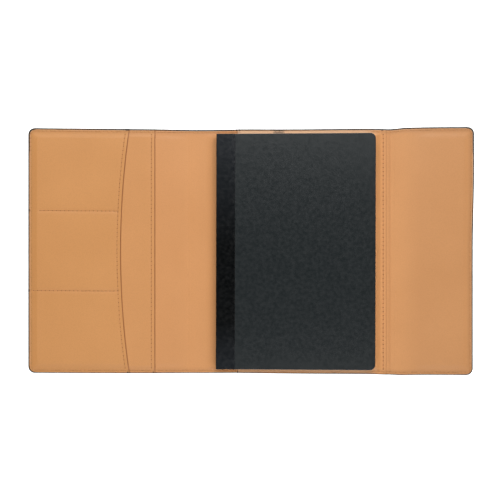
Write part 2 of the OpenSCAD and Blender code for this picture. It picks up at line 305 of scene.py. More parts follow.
# Painted shade in the creases.
def crease_stain(x):
    return 0.2 * bump(x, X_GUSSET - 0.1, 0.7) + 0.04 * bump(x, X_FRONT, 0.8)


# Painted shadow on the sleeve beyond the card pockets' mouth, and the brown of the sleeve's own stained
# mouth edge.
def stain_front_sleeve(x, y):
    low = np.maximum(x - card_mouth(y), 0.01)
    return np.maximum(mouth_stain(low), mouth_stain(np.minimum(x - X_SLEEVE_MOUTH, 0)))


def zone_shade(x):
    """Painted shade: each panel is darkened by its own amount, standing in for how the light falls on it."""
    return np.interp(
        x, [X_FRONT - 6, X_FRONT, X_GUSSET - 8, X_GUSSET - 5, X_GUSSET + 12, X_FLAP + 4],
        [0.155, 0.13, 0.12, 0.28, 0.28, 0.33],
    )


def sleeve_shade(x):
    """Painted shade on the back sleeve, less of it over its slope, which paints the slope lighter."""
    return np.interp(x, [X_SLOPE - 5, X_SLOPE + 1, X_SEAM - 3, X_SEAM - 0.5], [0.26, 0.20, 0.21, 0.27])


def rim_shade(x, y):
    """Painted shade: the rim is a little darker."""
    return 0.08 * (1 - ramp(edge_dist(x, y), 3, 6))


def rim_pale(x, y):
    """A paler strip next to the painted edge, along all but the lower edge."""
    return 0.3 * (1 - ramp(edge_dist(x, y), 1.5, 2.1)) * ramp(y, -108, -100)


def pale_back(x, y):
    """Paler over the board's long edges, more so on the upper one, which faces the light: partly leather
    stretched paler, partly a painted sheen.
    """
    d = half_h(x) - np.abs(y)
    band = ramp(d, 0.8, 1.6) * (1 - ramp(d, 5.0, 7.5)) * (1 - ramp(x, X_SLOPE - 11, X_SLOPE + 7))
    return np.maximum(np.where(y > 0, 0.8, 0.5) * band, rim_pale(x, y))


def stain_card(x, y):
    return mouth_stain(np.minimum(x - card_mouth(y), 0))


def stain_back(x, y):
    return 0.45 * mouth_stain(np.minimum(np.maximum(X_BACK_MOUTH - x, x - X_TAB), 0))


def rim_top(x):
    """Height of the stack of leather at the cover's edge."""
    ends = float(card_mouth(H_LEFT))
    on_card = 1 - ramp(x, ends - 0.2, ends + 0.9)
    on_sleeve = 1 - ramp(x, X_SLEEVE_MOUTH - 0.2, X_SLEEVE_MOUTH + 0.9)
    on_back = ramp(x, X_BACK_MOUTH - 0.9, X_BACK_MOUTH + 0.2) * (1 - ramp(x, X_TAB - 0.2, X_TAB + 0.9))
    return Z_RIM + SLEEVE_T * (on_card + on_sleeve + on_back)


def z_top(x, y):
    """Height of the uppermost leather at a point."""
    z = z_lining(x, y)
    on_back = (x > X_BACK_MOUTH) & (x < X_TAB)
    z = np.where(on_back, z_back(x, y), z)
    z = np.where(x < X_SLEEVE_MOUTH, z_front_sleeve(x, y), z)
    return np.where(x < card_mouth(y), z_card(x, y), z)


# ---------------------------------------------------------------- stitch rows


class Row:
    """A row of stitches along a path, its holes one pitch apart; dark is how much painted shade its holes
    get.
    """

    def __init__(self, path, closed=False, dark=0.85):
        self.dark = dark
        path = np.asarray(path, float)
        if closed:
            path = np.vstack([path, path[:1]])
        s = np.concatenate([[0], np.cumsum(np.hypot(*np.diff(path, axis=0).T))])
        n = max(1, round(s[-1] / PITCH))
        at = np.linspace(0, s[-1], n + 1)
        self.path, self.s = path, s
        self.holes = self.at(at)
        if closed:
            self.holes = self.holes[:-1]
        self.marks = at
        self.length = s[-1]

    def at(self, s):
        return np.stack([np.interp(s, self.s, self.path[:, k]) for k in range(2)], axis=1)


def quarter(start):
    """Angles of a quarter turn from start, which is in degrees."""
    return np.radians(np.linspace(start, start + 90, 13))


def inset_path(inset, step=0.5):
    """The cover's outline, moved inside itself, anticlockwise from the lower left corner."""
    r = CORNER_R - inset
    xs = np.arange(X_LEFT + CORNER_R, X_RIGHT - CORNER_R, step)
    pts = []
    for s, end, start in ((1, X_RIGHT, -90), (-1, X_LEFT, 90)):
        pts += [(x, -s * (half_h(x) - inset)) for x in xs[::s]]
        for sy, a0 in ((-s, start), (s, start + 90)):
            cx, cy = end - s * CORNER_R, sy * (half_h(end) - CORNER_R)
            pts += [(cx + r * math.cos(a), cy + r * math.sin(a)) for a in quarter(a0)]
    return pts


def row_across(x, short, dark=0.85):
    """A straight row along Y that stops short of both edges."""
    y = half_h(x) - short
    return Row([(x, -y), (x, y)], dark=dark)


HEM_Y = H_LEFT - 5
edge_row = Row(inset_path(STITCH_IN), closed=True, dark=0.5)
under_row = Row(inset_path(STITCH_IN), closed=True)
hem_row = Row([(card_mouth(y) - HEM_IN, y) for y in np.linspace(-HEM_Y, HEM_Y, 240)])
divider_rows = [
    Row([(X_LEFT + start, s * DIVIDER_Y), (card_mouth(DIVIDER_Y) - HEM_IN, s * DIVIDER_Y)])
    for s, start in ((-1, 4.6), (1, 10.6))
]
sleeve_row = row_across(X_SLEEVE_MOUTH - HEM_IN, 5)
back_row = row_across(X_BACK_MOUTH + HEM_IN, 4.4)
seam_row = row_across(X_SEAM, 5, dark=1.3)

# ---------------------------------------------------------------- meshes


def new_object(name, points, faces, material, attributes=None, nudge=NUDGE, smooth_shading=True):
    """An object from points in millimetres. Its rest places and other values are kept on its points.

    nudge is None for a piece that isn't part of the cover.
    """
    points = np.array(points, float)
    if nudge is None:
        settle_notebook(points)
    else:
        settle(points, nudge)
    mesh = bpy.data.meshes.new(name)
    mesh.from_pydata((points / MM).tolist(), [], faces)
    mesh.update()
    rest = mesh.attributes.new("rest", "FLOAT_VECTOR", "POINT")
    rest.data.foreach_set("vector", (points / MM).astype(np.float32).ravel())
    for key, value in (attributes or {}).items():
        a = mesh.attributes.new(key, "FLOAT", "POINT")
        a.data.foreach_set("value", np.asarray(value, np.float32))
    for m in material if isinstance(material, (list, tuple)) else [material]:
        mesh.materials.append(m)
    if smooth_shading:
        mesh.polygons.foreach_set("use_smooth", [True] * len(mesh.polygons))
    o = bpy.data.objects.new(name, mesh)
    bpy.context.scene.collection.objects.link(o)
    return o


def tube_faces(base, rings, sides):
    """Faces round a stack of rings of points, the first of them at base, and over its two ends."""
    faces = []
    last = base + (rings - 1) * sides
    for a in range(base, last, sides):
        b = a + sides
        faces += [[a + j, a + (j + 1) % sides, b + (j + 1) % sides, b + j] for j in range(sides)]
    return faces + [list(range(base, base + sides))[::-1], list(range(last, last + sides))]


def tree_of(points):
    """A search tree over points in the plane."""
    tree = KDTree(len(points))
    for i, p in enumerate(points):
        tree.insert((p[0], p[1], 0), i)
    tree.balance()
    return tree


def thin(accepted, new, gap):
    """Adds to accepted those new points that are at least gap from every accepted one."""
    if not len(new):
        return accepted
    tree = tree_of(accepted)
    keep = [p for p in new if tree.find((p[0], p[1], 0))[2] >= gap]
    return np.vstack([accepted, keep]) if keep else accepted


def triangulate(points, n_loop):
    """Triangles over the loop made by the first n_loop points, and the points' new order."""
    made = delaunay_2d_cdt([Vector(p) for p in points], [], [list(range(n_loop))], 1, 1e-5, True)
    verts, _, faces, origin = made[:4]
    where = {}
    for i, o in enumerate(origin):
        for k in o:
            where[k] = i
    flat = np.array([(v.x, v.y) for v in verts])
    loop = [where[i] for i in range(n_loop)]
    on_loop = np.zeros(len(flat), bool)
    on_loop[loop] = True
    tris = np.array([list(f) for f in faces])
    a, b, c = (flat[tris[:, i]] for i in range(3))
    area = np.abs((b - a)[:, 0] * (c - a)[:, 1] - (b - a)[:, 1] * (c - a)[:, 0])
    longest = np.max([np.hypot(*(b - a).T), np.hypot(*(c - b).T), np.hypot(*(a - c).T)], axis=0)
    edge_only = np.where(on_loop[tris].all(1))[0]
    drop = np.zeros(len(tris), bool)
    drop[edge_only] = (area / longest)[edge_only] < 0.004
    centre = ((a + b + c) / 3)[edge_only]
    drop[edge_only] |= ~within(centre, flat[loop])
    return flat, tris[~drop].tolist(), loop


def within(points, outline):
    """Which points lie inside a closed outline."""
    x0, y0 = outline.T
    x1, y1 = np.roll(x0, -1), np.roll(y0, -1)
    px, py = points[:, :1], points[:, 1:]
    spans = (y0 > py) != (y1 > py)
    with np.errstate(divide="ignore", invalid="ignore"):
        cross_at = (x1 - x0) * (py - y0) / (y1 - y0) + x0
    return ((px < cross_at) & spans).sum(1) % 2 == 1


class Ring:
    """A sheet's outline, anticlockwise, with the inward direction at each point.

    left and right are "round" for an outer end, "cut" where the next piece goes on, or a
    function of y that gives the x of a free mouth.
    """

    def __init__(self, xa, xb, left, right, inset=0.0, half=half_h, radius=CORNER_R, offsets=(), long=STEP):
        self.offsets = offsets
        pts, inw = [], []
        r = radius - inset

        def add(x, y, inward):
            pts.append((x, y))
            inw.append(inward)

        ends = {}
        for key, kind, x, s in (("l", left, xa, 1), ("r", right, xb, -1)):
            if kind == "round":
                ends[key] = (x + s * (inset + r),) * 2
            elif kind == "cut":
                ends[key] = (x, x)
            else:
                h = float(half(kind(half(x)))) - inset
                ends[key] = (float(kind(-h)), float(kind(h)))

        def run(x0, x1, sign):
            n = max(2, round(abs(x1 - x0) / long))
            for x in np.linspace(x0, x1, n + 1):
                add(x, sign * (half(x) - inset), (0, -sign))

        def corner(cx, cy, start, part):
            for a in quarter(start)[part]:
                add(cx + r * math.cos(a), cy + r * math.sin(a), (-math.cos(a), -math.sin(a)))

        def side(kind, x, s):
            """The end at x, upward at the right and downward at the left; s is the inward x direction."""
            h = float(half(x)) - inset
            if kind == "round":
                start, straight = 90 * s, h - r
                corner(x + s * (inset + r), s * straight, start, slice(1, None))
                n = round(2 * straight / long)
                for y in np.linspace(s * straight, -s * straight, n + 1)[1:-1]:
                    add(x + s * inset, y, (s, 0))
                corner(x + s * (inset + r), -s * straight, start + 90, slice(None, -1))
            elif kind == "cut":
                d = [*offsets, *(STITCH_IN - inset + k for k in (-0.6, -0.27, 0, 0.27, 0.6))]
                n = round(2 * (h - d[-1]) / 3.0)
                middle = np.linspace(-h + d[-1], h - d[-1], n + 1)[1:-1]
                ys = [*(o - h for o in d), *middle, *(h - o for o in d[::-1])]
                for y in ys[::-s]:
                    add(x, y, (0, 0))
            else:
                inw[-1] = (s, -s)
                h = float(half(float(kind(h)))) - inset
                n = round(2 * h / long)
                for y in np.linspace(-h, h, n + 1)[1:-1][::-s]:
                    add(float(kind(y)), y, (s, 0))

        run(ends["l"][0], ends["r"][0], -1)
        side(right, xb, -1)
        mark = len(pts)
        run(ends["r"][1], ends["l"][1], 1)
        if callable(right):
            inw[mark] = (-1, -1)
        side(left, xa, 1)
        if callable(left):
            inw[0] = (1, 1)
        self.points, self.inward = np.array(pts), np.array(inw, float)
        keep = [0]
        for i in range(1, len(self.points)):
            if np.hypot(*(self.points[i] - self.points[keep[-1]])) > 1e-4:
                keep.append(i)
        if np.hypot(*(self.points[keep[-1]] - self.points[0])) < 1e-4:
            keep.pop()
        self.points, self.inward = self.points[keep], self.inward[keep]
        self.moving = np.abs(self.inward).sum(1) > 0
        self.cuts = [x for kind, x in ((left, xa), (right, xb)) if kind == "cut"]

    def loops(self):
        """Points of the loops inside the outline, at each offset."""
        out = []
        for d in self.offsets:
            p = self.points[self.moving] + self.inward[self.moving] * d
            for x in self.cuts:
                p = p[np.abs(p[:, 0] - x) > 1e-3]
            out.append(p)
        return np.vstack(out) if out else np.zeros((0, 2))


def paint_creep(x, y):
    """How far the edge paint has crept over the rim, which varies from place to place."""
    creep = 0.04 + 0.05 * waves(x, y, 17, 41)
    creep = creep + 0.36 * ramp(y, 80, 108) + 0.42 * (1 - ramp(np.minimum(x - X_LEFT, X_RIGHT - x), 3, 9))
    for at, side, wide in SMEARS:
        creep = creep + 0.3 * np.exp(-(((x - at) / wide) ** 4)) * (np.sign(y) == side)
    return creep


def hole_points(holes):
    """Places on and round each hole, where the mesh has to be fine."""
    out = [holes]
    for r, n in ((0.27, 6), (0.6, 8)):
        for a in np.linspace(0, 2 * math.pi, n, endpoint=False):
            out.append(holes + r * np.array([math.cos(a + r), math.sin(a + r)]))
    return np.vstack(out)


def groove_points(row, inside):
    """Places along a row between its holes."""
    s = np.concatenate([row.marks[:-1] + (row.marks[1] - row.marks[0]) * f for f in (0.25, 0.5, 0.75)])
    p = row.at(s)
    q = row.at(np.clip(s + 0.2, 0, row.length))
    o = row.at(np.clip(s - 0.2, 0, row.length))
    t = q - o
    t = t / np.maximum(np.hypot(*t.T), 1e-9)[:, None]
    n = np.stack([-t[:, 1], t[:, 0]], axis=1)
    p = np.vstack([p + n * k for k in (-0.95, -0.42, 0, 0.42, 0.95)])
    return p[inside(p[:, 0], p[:, 1]) > 0.3]


def columns(xs, y_max, dy):
    """Points dy apart on lines along Y."""
    gx, gy = np.meshgrid(xs, np.arange(-y_max + dy / 2, y_max, dy))
    return np.stack([gx.ravel(), gy.ravel()], axis=1)


HOLE_DEPTH = 0.30
GROOVE_DEPTH = 0.09


def dips(x, y, rows):
    """How far stitching pulls the leather down, and how much painted shade its holes put on each point."""
    down, hole = np.zeros_like(x), np.zeros_like(x)
    for row in rows:
        lo, hi = row.holes.min(0) - 3, row.holes.max(0) + 3
        near = np.where((x > lo[0]) & (x < hi[0]) & (y > lo[1]) & (y < hi[1]))[0]
        if not len(near):
            continue
        holes, line = tree_of(row.holes), tree_of(row.at(np.arange(0, row.length, 0.4)))
        for i in near:
            at = (x[i], y[i], 0)
            g = line.find(at)[2]
            if g > 3:
                continue
            r = holes.find(at)[2]
            down[i] += GROOVE_DEPTH * bump(g, 0, 0.6) + HOLE_DEPTH * bump(r, 0, 0.34)
            hole[i] = max(hole[i], row.dark * bump(r, 0, 0.5))
    return down, hole


def sheet_mesh(
    name, ring, inside, z_up, z_down, material, fine=(), rows=(), cols=(), spacing=3.0, under_rows=(),
    edge_r=0.3, nudge=NUDGE, stain=None, pale=None, zone=None,
):
    """A closed sheet of leather, card or cloth.

    inside gives how far inside its free edges a point is. fine are extra places on the
    upper side, each set with the least gap it keeps. rows and under_rows are the stitch rows
    that mark its upper and lower side.
    """
    x0, y0 = ring.points.min(0)
    x1, y1 = ring.points.max(0)
    y_max = max(abs(y0), abs(y1))
    reach = ring.offsets[-1] if len(ring.offsets) else 0.0
    coarse = columns(np.arange(x0 + spacing / 2, x1, spacing), y_max, spacing)
    faces_all, points_all = [], []
    values = {key: [] for key in ("hole", "paint", "stain", "shade", "pale")}
    loops = []
    for up in (True, False):
        pts = np.vstack([ring.points, ring.loops()])
        side_rows = rows if up else under_rows
        for row in side_rows:
            h = row.holes[(inside(row.holes[:, 0], row.holes[:, 1]) > 0.7)]
            if len(h):
                h = hole_points(h)
                pts = thin(pts, h[(h[:, 0] > x0 + 0.1) & (h[:, 0] < x1 - 0.1)], 0.12)
            g = groove_points(row, inside)
            g = g[(g[:, 0] > x0 + 0.4) & (g[:, 0] < x1 - 0.4)]
            pts = thin(pts, g, 0.2)
        inner_cols = columns([c for c in cols if x0 + 0.3 < c < x1 - 0.3], y_max, 4.0)
        coarse_gap = spacing * (0.55 if up else 1)
        for extra, gap in [*(fine if up else ()), (inner_cols, 0.24), (coarse, coarse_gap)]:
            if not len(extra):
                continue
            ok = inside(extra[:, 0], extra[:, 1]) > reach + 0.1
            ok &= (extra[:, 0] > x0 + 0.3) & (extra[:, 0] < x1 - 0.3)
            pts = thin(pts, extra[ok], gap)
        flat, tris, loop = triangulate(pts, len(ring.points))
        x, y = flat[:, 0], flat[:, 1]
        d = inside(x, y)
        down, hole = dips(x, y, side_rows)
        if up:
            z = z_up(x, y) - round_off(d, edge_r) - down
        else:
            z = z_down(x, y) + round_off(d, edge_r) + down
        base = sum(len(p) for p in points_all)
        points_all.append(np.stack([x, y, z], axis=1))
        # Values for the material: painted shade in the holes, the edge paint, stained edges with painted
        # shadow and crease shade, painted shade by panel and rim, and paler strips with a painted sheen.
        for key, value in (
            ("hole", hole),
            ("paint", 1 - ramp(edge_dist(x, y) - LIP - paint_creep(x, y), 0.05, 0.2)),
            ("stain", stain(x, y) if stain else 0 * x),
            ("shade", rim_shade(x, y) + (zone(x) if zone else 0)),
            ("pale", rim_pale(x, y) if pale is None else pale(x, y)),
        ):
            values[key].append(value)
        faces_all += [[base + i for i in (f if up else f[::-1])] for f in tris]
        loops.append([base + i for i in loop])
    top, low = loops
    n = len(top)
    faces_all += [[top[i], low[i], low[(i + 1) % n], top[(i + 1) % n]] for i in range(n)]
    values = {key: np.concatenate(parts) for key, parts in values.items()}
    o = new_object(name, np.vstack(points_all), faces_all, material, values, nudge)
    if ring.cuts:
        sharpen_cuts(o, np.concatenate([p[:, 0] for p in points_all]), ring.cuts)
    return o


def sharpen_cuts(o, x, cuts):
    """Marks the edges round a cut end sharp, so that two pieces meet without a seam in the shading.

    x is each point's place before the sheet settled.
    """
    sharp = o.data.attributes.get("sharp_edge") or o.data.attributes.new("sharp_edge", "BOOLEAN", "EDGE")
    on = np.zeros(len(x), bool)
    for c in cuts:
        on |= np.abs(x - c) < 2e-3
    flags = [bool(on[e.vertices[0]] and on[e.vertices[1]]) for e in o.data.edges]
    sharp.data.foreach_set("value", flags)


def stitches(name, rows, z_at, material, sign=1, pick=None, nudge=NUDGE):
    """Threads between the holes of the rows: two twisted plies that dive into the leather at each end."""
    rings, sides = 9, 8
    points, faces, tone = [], [], []
    shape = np.linspace(-1, 1, rings)
    for row in rows:
        step = row.marks[1] - row.marks[0]
        for k in range(len(row.marks) - 1):
            middle = row.marks[k] + step / 2
            c = row.at(np.array([middle]))[0]
            if pick is not None and not pick(c[0], c[1]):
                continue
            long = step / 2 - 0.22
            s = middle + shape * long
            p = row.at(np.clip(s, 0, row.length))
            before, after = row.at(np.array([max(middle - 0.5, 0), min(middle + 0.5, row.length)]))
            t = (after - before) / np.hypot(*(after - before))
            n = np.array([-t[1], t[0]])
            p = p + n * (shape * 0.11)[:, None] + n * rng.normal(0, 0.02)
            z = z_at(p[:, 0], p[:, 1])
            lift = 0.03 - 0.30 * np.abs(shape) ** 5 + rng.normal(0, 0.01)
            z = z + sign * lift
            r = THREAD_R * np.where(np.abs(shape) > 0.99, 0.35, 1 - 0.25 * np.abs(shape) ** 4)
            base = len(points)
            for i in range(rings):
                for j in range(sides):
                    a = 2 * math.pi * j / sides
                    ply = 1 + 0.10 * math.cos(2 * (a - 2.2 * shape[i] * long))
                    off = math.cos(a) * r[i] * ply
                    side = p[i] + n * off
                    points.append((side[0], side[1], z[i] + math.sin(a) * r[i] * ply * 0.9))
            faces += tube_faces(base, rings, sides)
            tone += [rng.uniform(0, 1)] * (rings * sides)
    return new_object(name, points, faces, material, {"tone": tone}, nudge)


# ---------------------------------------------------------------- materials


def material(name):
    m = bpy.data.materials.new(name)
    m.use_nodes = True
    tree = m.node_tree
    tree.nodes.clear()
    out = tree.nodes.new("ShaderNodeOutputMaterial")
    shader = tree.nodes.new("ShaderNodeBsdfPrincipled")
    tree.links.new(shader.outputs[0], out.inputs[0])
    return m, tree, shader


def after(source, kind, key, **values):
    """A new node with source linked to its input called key."""
    n = source.id_data.nodes.new(kind)
    for name, value in values.items():
        if name in n.inputs:
            n.inputs[name].default_value = value
        else:
            setattr(n, name, value)
    source.id_data.links.new(source, n.inputs[key])
    return n


def value_of(tree, name, output="Fac"):
    """A value that the mesh keeps on its points."""
    n = tree.nodes.new("ShaderNodeAttribute")
    n.attribute_name = name
    return n.outputs[output]


def coords(tree, cad=False):
    """Places at rest, so that the grain stays with the leather when it bends."""
    if cad:
        return tree.nodes.new("ShaderNodeTexCoord").outputs["Object"]
    return value_of(tree, "rest", "Vector")


def noise(at, size_mm, detail=2.0, rough=0.5, stretch=None):
    if stretch is not None:
        at = after(at, "ShaderNodeMapping", "Vector", Scale=stretch).outputs[0]
    n = after(at, "ShaderNodeTexNoise", "Vector", Scale=MM / size_mm, Detail=detail, Roughness=rough)
    return n.outputs["Fac"]


def cells(at, size_mm):
    return after(at, "ShaderNodeTexVoronoi", "Vector", Scale=MM / size_mm).outputs["Distance"]


def remap(value, a, b, c, d):
    n = after(value, "ShaderNodeMapRange", "Value")
    for i, v in enumerate((a, b, c, d)):
        n.inputs[i + 1].default_value = v
    return n.outputs[0]


def mix(fac, a, b):
    """Colour from a, which is a colour or a socket, to the colour b."""
    n = after(fac, "ShaderNodeMix", "Factor", data_type="RGBA")
    if isinstance(a, tuple):
        n.inputs[6].default_value = (*a, 1)
    else:
        a.id_data.links.new(a, n.inputs[6])
    n.inputs[7].default_value = (*b, 1)
    return n.outputs[2]


def bumps(layers):
    """Chained bumps, each a height, how deep it is in millimetres and its strength."""
    below = None
    for height, depth, strength in layers:
        n = after(height, "ShaderNodeBump", "Height", Strength=strength, Distance=depth / MM)
        if below:
            height.id_data.links.new(below, n.inputs["Normal"])
        below = n.outputs[0]
    return below


def surface(made, colour, rough, gloss, layers=()):
    """Finishes a material: its colour, its roughness, a value or a socket, its gloss and its bumps."""
    m, tree, shader = made
    tree.links.new(colour, shader.inputs["Base Color"])
    if isinstance(rough, float):
        shader.inputs["Roughness"].default_value = rough
    else:
        tree.links.new(rough, shader.inputs["Roughness"])
    shader.inputs["Specular IOR Level"].default_value = gloss
    if layers:
        tree.links.new(bumps(layers), shader.inputs["Normal"])
    return m


TAN_LIGHT = (0.845, 0.398, 0.154)
TAN_DARK = (0.800, 0.372, 0.140)
# Colour of paler leather, also painted as a sheen over the back sleeve's long edges.
PALE_AND_SHEEN = (0.66, 0.46, 0.31)
# Brown of the pockets' stained edges, also painted as shadow beyond their mouths and as shade in the
# creases.
STAIN_AND_SHADE_BROWN = (0.32, 0.122, 0.036)
# Painted shade in the stitch holes.
HOLE_SHADE_BROWN = (0.20, 0.072, 0.020)
EDGE_PAINT = (0.020, 0.013, 0.009)


def leather(name, light, dark, rough, grain, grain_depth, painted=True, seed=0.0):
    """Leather with a fine grain, slow changes of tone, painted edges, and colours kept on its points:
    painted shade, paler strips with a painted sheen, stained edges with painted shadow and crease shade, and
    painted shade in its stitch holes.
    """
    made = material(name)
    tree = made[1]
    at = coords(tree)
    if seed:
        at = after(at, "ShaderNodeMapping", "Vector", Location=(seed, seed * 0.7, 0)).outputs[0]
    slow = remap(noise(at, 55, 2.0), 0.3, 0.7, 0, 1)
    colour = mix(slow, light, dark)
    blotch = remap(noise(at, 7, 3.0, 0.6), 0.35, 0.7, 0, 0.22)
    colour = mix(blotch, colour, dark)
    pore = cells(at, grain)
    deep = remap(pore, 0.25, 0.75, 0.0, 0.14)
    colour = mix(deep, colour, tuple(c * 0.6 for c in dark))
    if painted:
        # Painted shade, then paler leather with a painted sheen, then stained edges with painted shadow and
        # crease shade.
        for key, over in (("shade", (0, 0, 0)), ("pale", PALE_AND_SHEEN), ("stain", STAIN_AND_SHADE_BROWN)):
            colour = mix(value_of(tree, key), colour, over)
        # Painted shade in the stitch holes.
        hole = remap(value_of(tree, "hole"), 0.2, 0.75, 0, 1)
        colour = mix(hole, colour, HOLE_SHADE_BROWN)
        colour = mix(value_of(tree, "paint"), colour, EDGE_PAINT)
    r = remap(noise(at, 4, 3.0), 0.3, 0.7, rough - 0.06, rough + 0.06)
    fine = noise(at, grain * 0.35, 2.0)
    soft = noise(at, 11, 2.0)
    layers = [(soft, 0.25, 0.35), (pore, grain_depth, 0.5), (fine, grain_depth * 0.5, 0.4)]
    return surface(made, colour, r, 0.28, layers)


def tan_leather(name, rough, tint=(1, 1, 1), seed=0.0):
    light, dark = (tuple(c * k for c, k in zip(colour, tint)) for colour in (TAN_LIGHT, TAN_DARK))
    return leather(name, light, dark, rough, 0.75, 0.05, seed=seed)


mat_tan = tan_leather("tan_leather_lining", 0.46)
mat_sleeve = tan_leather("tan_leather_sleeves", 0.46, (0.735, 0.725, 0.68), 0.9)
mat_card = tan_leather("tan_leather_pockets", 0.48, (0.725, 0.715, 0.635), 1.7)
mat_black = leather(
    "black_leather_outer", (0.020, 0.018, 0.0165), (0.012, 0.0105, 0.0095), 0.42, 1.1, 0.16, painted=False
)


def thread_material(name, light, dark):
    made = material(name)
    tree = made[1]
    at = coords(tree)
    colour = mix(value_of(tree, "tone"), light, dark)
    fuzz = noise(at, 0.25, 2.0)
    colour = mix(remap(fuzz, 0.3, 0.7, 0, 0.35), colour, dark)
    return surface(made, colour, remap(fuzz, 0.3, 0.7, 0.45, 0.65), 0.3, [(fuzz, 0.05, 0.6)])


mat_thread = thread_material("tan_thread_waxed", (0.56, 0.262, 0.100), (0.43, 0.190, 0.066))
mat_black_thread = thread_material("black_thread_waxed", (0.03, 0.028, 0.026), (0.015, 0.014, 0.013))


def card_material(name, light, dark, rough, crinkle, depth, gloss, end_sheen=None):
    """Coated bookbinding card or cloth with a leathery embossing, and, where a colour is given for it, a
    painted reflection that lightens it towards its upper and lower ends.
    """
    made = material(name)
    tree = made[1]
    at = coords(tree)
    mottle = remap(noise(at, crinkle * 2.2, 4.0, 0.6), 0.35, 0.68, 0, 1)
    colour = mix(mottle, light, dark)
    if end_sheen:
        # Painted reflection: lighter towards the upper and lower ends.
        y = after(at, "ShaderNodeSeparateXYZ", "Vector").outputs["Y"]
        colour = mix(remap(y, 0.005, 0.100, 0, 1), colour, end_sheen)
        colour = mix(remap(y, -0.062, -0.108, 0, 1), colour, end_sheen)
    r = remap(noise(at, 3, 3.0), 0.3, 0.7, rough - 0.04, rough + 0.04)
    fold = noise(at, crinkle, 3.0, 0.55)
    pore = cells(at, crinkle * 0.45)
    return surface(made, colour, r, gloss, [(fold, depth * 2, 0.5), (pore, depth, 0.5)])


mat_cover = card_material(
    "notebook_cover_card", (0.0059, 0.0096, 0.0108), (0.0049, 0.0083, 0.0094), 0.32, 0.8, 0.008, 0.42
)
mat_tape = card_material(
    "notebook_tape_cloth", (0.0012, 0.0017, 0.0020), (0.0008, 0.0011, 0.0013), 0.205, 2.6, 0.03, 0.56,
    end_sheen=(0.0108, 0.0130, 0.0158),
)


def paper_material(name, edges):
    made = material(name)
    tree = made[1]
    at = coords(tree)
    fibre = noise(at, 0.6, 3.0)
    cloud = noise(at, 20, 2.0)
    colour = mix(remap(cloud, 0.3, 0.7, 0, 1), (0.86, 0.81, 0.70), (0.84, 0.785, 0.67))
    colour = mix(remap(fibre, 0.4, 0.75, 0, 0.12), colour, (0.60, 0.53, 0.42))
    layers = []
    if edges:
        # Painted shade: darker lines along the page edges, where the gaps between leaves fall in shade.
        leaf = noise(at, 0.14, 1.0, 0.5, stretch=(0.01, 0.01, 1.0))
        colour = mix(remap(leaf, 0.52, 0.75, 0, 0.45), colour, (0.42, 0.36, 0.27))
        layers.append((leaf, 0.06, 0.8))
    return surface(made, colour, 0.85, 0.2, [*layers, (fibre, 0.02, 0.4)])


mat_paper = paper_material("cream_paper_sheet", False)
mat_pages = paper_material("cream_paper_block", True)


def hidden_material(name, light, dark, rough, metal, size):
    made = material(name)
    tree = made[1]
    made[2].inputs["Metallic"].default_value = metal
    n = noise(coords(tree, cad=True), size, 3.0, 0.6)
    colour = mix(remap(n, 0.3, 0.7, 0, 1), light, dark)
    r = remap(n, 0.3, 0.7, rough - 0.08, rough + 0.08)
    return surface(made, colour, r, 0.5, [(n, 0.03, 0.5)])


mat_greyboard = hidden_material("greyboard_fibres", (0.30, 0.27, 0.22), (0.22, 0.20, 0.17), 0.85, 0.0, 1.5)
mat_steel = hidden_material("steel_plate_brushed", (0.50, 0.51, 0.52), (0.42, 0.43, 0.44), 0.35, 1.0, 0.4)
mat_magnet = hidden_material("ferrite_strip", (0.045, 0.045, 0.048), (0.030, 0.030, 0.033), 0.6, 0.0, 0.5)
for name, m in (
    *((panel + "_board", mat_greyboard) for panel in ("front", "back", "flap")),
    ("front_plate", mat_steel),
    ("flap_magnet", mat_magnet),
):
    frame["nodes"][name].data.materials.clear()
    frame["nodes"][name].data.materials.append(m)

# ---------------------------------------------------------------- the cover's skins

OFFSETS = (0.05, 0.12, 0.2, 0.3, 0.46, 0.64, 1.2)
OUTER_OFFSETS = (0.05, 0.12, 0.2, BEAD - 0.03, BEAD + 0.03, 0.7, 1.2)
SPANS = (
    ("front", X_LEFT, CUT_SPINE, "round", "cut"),
    ("spine", CUT_SPINE, CUT_BACK, "cut", "cut"),
    ("back", CUT_BACK, CUT_GUSSET, "cut", "cut"),
    ("flap", CUT_GUSSET, X_RIGHT, "cut", "round"),
)


def stands(kind, span):
    """The CAD nodes of a kind that a span's piece stands for: the last span covers two panels."""
    return [kind + "_" + panel for panel in (("gusset", "flap") if span == "flap" else (span,))]


def bend(o):
    """Bakes a piece's placement into its mesh."""
    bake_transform(o)


def place(o, slot, body, *cad):
    """Hangs a piece on the body that carries it and hides the CAD nodes that it stands for; slot, what the
    piece is made of, is not used.
    """
    if cad:
        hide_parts(*cad)
    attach(o, body)


def flat(width, height):
    """A sheet's flat size in metres."""
    return (width / MM, height / MM)


crease_cols = np.concatenate([c + np.arange(-6.25, 6.5, 0.5) for c in CREASES])


def slope_points(step):
    """Places along the outline and 3.5 to 9 mm inside it, where the leather slopes over the boards."""
    out = []
    for d in np.arange(3.5, 9.0, 0.6):
        if d < CORNER_R - 0.5:
            out += inset_path(d, step)
        else:
            xs = np.arange(X_LEFT + d, X_RIGHT - d, step)
            out += [(x, s * (half_h(x) - d)) for x in xs for s in (-1, 1)]
            out += [(x, y) for x in (X_LEFT + d, X_RIGHT - d) for y in np.arange(-100, 100, step)]
    return np.array(out)


slopes = slope_points(1.8)


def slopes_between(x0, x1):
    return slopes[(slopes[:, 0] > x0) & (slopes[:, 0] < x1)]


MOUTH_STEPS = np.array([0.0, 0.25, 0.6, 0.95])
mouth_cols = np.concatenate([X_SLEEVE_MOUTH + MOUTH_STEPS, X_TAB + MOUTH_STEPS])


